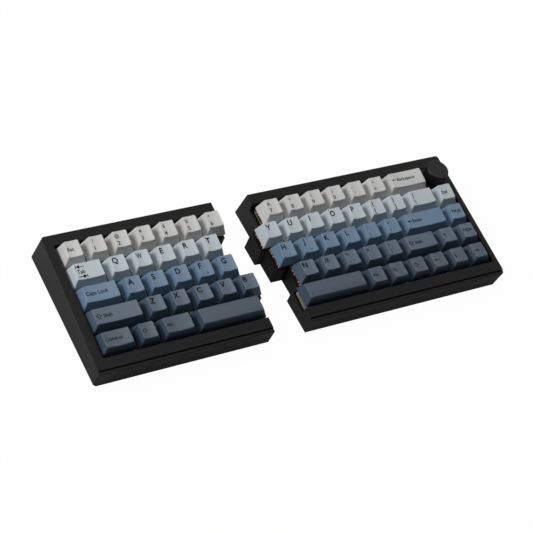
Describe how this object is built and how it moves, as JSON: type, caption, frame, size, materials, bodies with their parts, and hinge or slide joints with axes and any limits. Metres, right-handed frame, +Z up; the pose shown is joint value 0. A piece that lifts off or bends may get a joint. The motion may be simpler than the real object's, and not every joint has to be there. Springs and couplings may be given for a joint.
{
  "type": "split keyboard",
  "caption": "Split ergonomic mechanical keyboard: tilted black half cases with staggered stepped inner edges, sculpted keycaps fading from ivory to slate blue, and a control knob.",
  "frame": {"origin": "middle of the two halves' footprint, on the desk under the rubber feet", "axes": "+X along the key rows to the right, +Y towards the back, +Z up from the desk"},
  "size_m": [0.3498, 0.1272, 0.0417],
  "materials": {
    "case_black": "fine matte texture",
    "plate_sand": "satin paint",
    "board_green": "solder mask",
    "switch_pink": "moulded",
    "stabilizer_black": "moulded",
    "foot_rubber": "soft matte",
    "encoder_metal": "brushed",
    "knob_black": "matte",
    "cap_row_1": "fine grain",
    "cap_row_2": "fine grain",
    "cap_row_3": "fine grain",
    "cap_row_4": "fine grain",
    "cap_row_5": "fine grain"
  },
  "bodies": {
    "left_half": {"left_bottom_case": "case_black", "left_top_case": "case_black", "left_switch_plate": "plate_sand", "left_circuit_board": "board_green", "left_switch_housings": "switch_pink", "left_stabilizers": "stabilizer_black", "left_rubber_feet": "foot_rubber"},
    "right_half": {"right_bottom_case": "case_black", "right_top_case": "case_black", "right_switch_plate": "plate_sand", "right_circuit_board": "board_green", "right_switch_housings": "switch_pink", "right_stabilizers": "stabilizer_black", "right_rubber_feet": "foot_rubber", "rotary_encoder": "encoder_metal"},
    "knob": {"control_knob": "knob_black", "encoder_shaft": "encoder_metal"},
    "key_q": {"key_q": "cap_row_2"},
    "key_w": {"key_w": "cap_row_2"},
    "key_e": {"key_e": "cap_row_2"},
    "key_r": {"key_r": "cap_row_2"},
    "key_t": {"key_t": "cap_row_2"},
    "key_a": {"key_a": "cap_row_3"},
    "key_s": {"key_s": "cap_row_3"},
    "key_d": {"key_d": "cap_row_3"},
    "key_f": {"key_f": "cap_row_3"},
    "key_g": {"key_g": "cap_row_3"},
    "key_z": {"key_z": "cap_row_4"},
    "key_x": {"key_x": "cap_row_4"},
    "key_c": {"key_c": "cap_row_4"},
    "key_v": {"key_v": "cap_row_4"},
    "key_b": {"key_b": "cap_row_4"},
    "left_number_keys": {"left_number_keys": "cap_row_1"},
    "tab_key": {"tab_key": "cap_row_2"},
    "caps_lock_key": {"caps_lock_key": "cap_row_3"},
    "left_shift_key": {"left_shift_key": "cap_row_4"},
    "left_modifier_keys": {"left_modifier_keys": "cap_row_5"},
    "left_space_bar": {"left_space_bar": "cap_row_5"},
    "key_y": {"key_y": "cap_row_2"},
    "key_u": {"key_u": "cap_row_2"},
    "key_i": {"key_i": "cap_row_2"},
    "key_o": {"key_o": "cap_row_2"},
    "key_p": {"key_p": "cap_row_2"},
    "key_h": {"key_h": "cap_row_3"},
    "key_j": {"key_j": "cap_row_3"},
    "key_k": {"key_k": "cap_row_3"},
    "key_l": {"key_l": "cap_row_3"},
    "key_n": {"key_n": "cap_row_4"},
    "key_m": {"key_m": "cap_row_4"},
    "right_number_keys": {"right_number_keys": "cap_row_1"},
    "backspace_key": {"backspace_key": "cap_row_1"},
    "bracket_keys": {"bracket_keys": "cap_row_2"},
    "navigation_keys": {"navigation_keys": "cap_row_3"},
    "quote_keys": {"quote_keys": "cap_row_3"},
    "enter_key": {"enter_key": "cap_row_3"},
    "comma_keys": {"comma_keys": "cap_row_4"},
    "right_shift_key": {"right_shift_key": "cap_row_4"},
    "arrow_keys": {"arrow_keys": "cap_row_5"},
    "right_space_bar": {"right_space_bar": "cap_row_5"},
    "right_modifier_keys": {"right_modifier_keys": "cap_row_5"}
  },
  "joints": [
    {"name": "halves_apart", "type": "slide", "parent": "left_half", "child": "right_half", "axis": [1, 0, 0], "range_m": [-0.03, 0.06]},
    {"name": "knob_turn", "type": "hinge", "parent": "right_half", "child": "knob", "pos_m": [0.16048, 0.03491, 0.03164], "axis": [0, -0.1045, 0.9945], "continuous": true},
    {"name": "key_q_press", "type": "slide", "parent": "left_half", "child": "key_q", "axis": [0, -0.1045, 0.9945], "range_m": [-0.004, 0], "stiffness_N_per_m": 62, "springref_m": 0.0056},
    {"name": "key_w_press", "type": "slide", "parent": "left_half", "child": "key_w", "axis": [0, -0.1045, 0.9945], "range_m": [-0.004, 0], "stiffness_N_per_m": 62, "springref_m": 0.0056},
    {"name": "key_e_press", "type": "slide", "parent": "left_half", "child": "key_e", "axis": [0, -0.1045, 0.9945], "range_m": [-0.004, 0], "stiffness_N_per_m": 62, "springref_m": 0.0056},
    {"name": "key_r_press", "type": "slide", "parent": "left_half", "child": "key_r", "axis": [0, -0.1045, 0.9945], "range_m": [-0.004, 0], "stiffness_N_per_m": 62, "springref_m": 0.0056},
    {"name": "key_t_press", "type": "slide", "parent": "left_half", "child": "key_t", "axis": [0, -0.1045, 0.9945], "range_m": [-0.004, 0], "stiffness_N_per_m": 62, "springref_m": 0.0056},
    {"name": "key_a_press", "type": "slide", "parent": "left_half", "child": "key_a", "axis": [0, -0.1045, 0.9945], "range_m": [-0.004, 0], "stiffness_N_per_m": 62, "springref_m": 0.0056},
    {"name": "key_s_press", "type": "slide", "parent": "left_half", "child": "key_s", "axis": [0, -0.1045, 0.9945], "range_m": [-0.004, 0], "stiffness_N_per_m": 62, "springref_m": 0.0056},
    {"name": "key_d_press", "type": "slide", "parent": "left_half", "child": "key_d", "axis": [0, -0.1045, 0.9945], "range_m": [-0.004, 0], "stiffness_N_per_m": 62, "springref_m": 0.0056},
    {"name": "key_f_press", "type": "slide", "parent": "left_half", "child": "key_f", "axis": [0, -0.1045, 0.9945], "range_m": [-0.004, 0], "stiffness_N_per_m": 62, "springref_m": 0.0056},
    {"name": "key_g_press", "type": "slide", "parent": "left_half", "child": "key_g", "axis": [0, -0.1045, 0.9945], "range_m": [-0.004, 0], "stiffness_N_per_m": 62, "springref_m": 0.0056},
    {"name": "key_z_press", "type": "slide", "parent": "left_half", "child": "key_z", "axis": [0, -0.1045, 0.9945], "range_m": [-0.004, 0], "stiffness_N_per_m": 62, "springref_m": 0.0056},
    {"name": "key_x_press", "type": "slide", "parent": "left_half", "child": "key_x", "axis": [0, -0.1045, 0.9945], "range_m": [-0.004, 0], "stiffness_N_per_m": 62, "springref_m": 0.0056},
    {"name": "key_c_press", "type": "slide", "parent": "left_half", "child": "key_c", "axis": [0, -0.1045, 0.9945], "range_m": [-0.004, 0], "stiffness_N_per_m": 62, "springref_m": 0.0056},
    {"name": "key_v_press", "type": "slide", "parent": "left_half", "child": "key_v", "axis": [0, -0.1045, 0.9945], "range_m": [-0.004, 0], "stiffness_N_per_m": 62, "springref_m": 0.0056},
    {"name": "key_b_press", "type": "slide", "parent": "left_half", "child": "key_b", "axis": [0, -0.1045, 0.9945], "range_m": [-0.004, 0], "stiffness_N_per_m": 62, "springref_m": 0.0056},
    {"name": "left_number_keys_press", "type": "slide", "parent": "left_half", "child": "left_number_keys", "axis": [0, -0.1045, 0.9945], "range_m": [-0.004, 0], "stiffness_N_per_m": 434, "springref_m": 0.0056},
    {"name": "tab_key_press", "type": "slide", "parent": "left_half", "child": "tab_key", "axis": [0, -0.1045, 0.9945], "range_m": [-0.004, 0], "stiffness_N_per_m": 62, "springref_m": 0.0056},
    {"name": "caps_lock_key_press", "type": "slide", "parent": "left_half", "child": "caps_lock_key", "axis": [0, -0.1045, 0.9945], "range_m": [-0.004, 0], "stiffness_N_per_m": 62, "springref_m": 0.0056},
    {"name": "left_shift_key_press", "type": "slide", "parent": "left_half", "child": "left_shift_key", "axis": [0, -0.1045, 0.9945], "range_m": [-0.004, 0], "stiffness_N_per_m": 62, "springref_m": 0.0056},
    {"name": "left_modifier_keys_press", "type": "slide", "parent": "left_half", "child": "left_modifier_keys", "axis": [0, -0.1045, 0.9945], "range_m": [-0.004, 0], "stiffness_N_per_m": 186, "springref_m": 0.0056},
    {"name": "left_space_bar_press", "type": "slide", "parent": "left_half", "child": "left_space_bar", "axis": [0, -0.1045, 0.9945], "range_m": [-0.004, 0], "stiffness_N_per_m": 62, "springref_m": 0.0056},
    {"name": "key_y_press", "type": "slide", "parent": "right_half", "child": "key_y", "axis": [0, -0.1045, 0.9945], "range_m": [-0.004, 0], "stiffness_N_per_m": 62, "springref_m": 0.0056},
    {"name": "key_u_press", "type": "slide", "parent": "right_half", "child": "key_u", "axis": [0, -0.1045, 0.9945], "range_m": [-0.004, 0], "stiffness_N_per_m": 62, "springref_m": 0.0056},
    {"name": "key_i_press", "type": "slide", "parent": "right_half", "child": "key_i", "axis": [0, -0.1045, 0.9945], "range_m": [-0.004, 0], "stiffness_N_per_m": 62, "springref_m": 0.0056},
    {"name": "key_o_press", "type": "slide", "parent": "right_half", "child": "key_o", "axis": [0, -0.1045, 0.9945], "range_m": [-0.004, 0], "stiffness_N_per_m": 62, "springref_m": 0.0056},
    {"name": "key_p_press", "type": "slide", "parent": "right_half", "child": "key_p", "axis": [0, -0.1045, 0.9945], "range_m": [-0.004, 0], "stiffness_N_per_m": 62, "springref_m": 0.0056},
    {"name": "key_h_press", "type": "slide", "parent": "right_half", "child": "key_h", "axis": [0, -0.1045, 0.9945], "range_m": [-0.004, 0], "stiffness_N_per_m": 62, "springref_m": 0.0056},
    {"name": "key_j_press", "type": "slide", "parent": "right_half", "child": "key_j", "axis": [0, -0.1045, 0.9945], "range_m": [-0.004, 0], "stiffness_N_per_m": 62, "springref_m": 0.0056},
    {"name": "key_k_press", "type": "slide", "parent": "right_half", "child": "key_k", "axis": [0, -0.1045, 0.9945], "range_m": [-0.004, 0], "stiffness_N_per_m": 62, "springref_m": 0.0056},
    {"name": "key_l_press", "type": "slide", "parent": "right_half", "child": "key_l", "axis": [0, -0.1045, 0.9945], "range_m": [-0.004, 0], "stiffness_N_per_m": 62, "springref_m": 0.0056},
    {"name": "key_n_press", "type": "slide", "parent": "right_half", "child": "key_n", "axis": [0, -0.1045, 0.9945], "range_m": [-0.004, 0], "stiffness_N_per_m": 62, "springref_m": 0.0056},
    {"name": "key_m_press", "type": "slide", "parent": "right_half", "child": "key_m", "axis": [0, -0.1045, 0.9945], "range_m": [-0.004, 0], "stiffness_N_per_m": 62, "springref_m": 0.0056},
    {"name": "right_number_keys_press", "type": "slide", "parent": "right_half", "child": "right_number_keys", "axis": [0, -0.1045, 0.9945], "range_m": [-0.004, 0], "stiffness_N_per_m": 372, "springref_m": 0.0056},
    {"name": "backspace_key_press", "type": "slide", "parent": "right_half", "child": "backspace_key", "axis": [0, -0.1045, 0.9945], "range_m": [-0.004, 0], "stiffness_N_per_m": 62, "springref_m": 0.0056},
    {"name": "bracket_keys_press", "type": "slide", "parent": "right_half", "child": "bracket_keys", "axis": [0, -0.1045, 0.9945], "range_m": [-0.004, 0], "stiffness_N_per_m": 186, "springref_m": 0.0056},
    {"name": "navigation_keys_press", "type": "slide", "parent": "right_half", "child": "navigation_keys", "axis": [0, -0.1045, 0.9945], "range_m": [-0.004, 0], "stiffness_N_per_m": 186, "springref_m": 0.0056},
    {"name": "quote_keys_press", "type": "slide", "parent": "right_half", "child": "quote_keys", "axis": [0, -0.1045, 0.9945], "range_m": [-0.004, 0], "stiffness_N_per_m": 124, "springref_m": 0.0056},
    {"name": "enter_key_press", "type": "slide", "parent": "right_half", "child": "enter_key", "axis": [0, -0.1045, 0.9945], "range_m": [-0.004, 0], "stiffness_N_per_m": 62, "springref_m": 0.0056},
    {"name": "comma_keys_press", "type": "slide", "parent": "right_half", "child": "comma_keys", "axis": [0, -0.1045, 0.9945], "range_m": [-0.004, 0], "stiffness_N_per_m": 186, "springref_m": 0.0056},
    {"name": "right_shift_key_press", "type": "slide", "parent": "right_half", "child": "right_shift_key", "axis": [0, -0.1045, 0.9945], "range_m": [-0.004, 0], "stiffness_N_per_m": 62, "springref_m": 0.0056},
    {"name": "arrow_keys_press", "type": "slide", "parent": "right_half", "child": "arrow_keys", "axis": [0, -0.1045, 0.9945], "range_m": [-0.004, 0], "stiffness_N_per_m": 248, "springref_m": 0.0056},
    {"name": "right_space_bar_press", "type": "slide", "parent": "right_half", "child": "right_space_bar", "axis": [0, -0.1045, 0.9945], "range_m": [-0.004, 0], "stiffness_N_per_m": 62, "springref_m": 0.0056},
    {"name": "right_modifier_keys_press", "type": "slide", "parent": "right_half", "child": "right_modifier_keys", "axis": [0, -0.1045, 0.9945], "range_m": [-0.004, 0], "stiffness_N_per_m": 186, "springref_m": 0.0056}
  ]
}
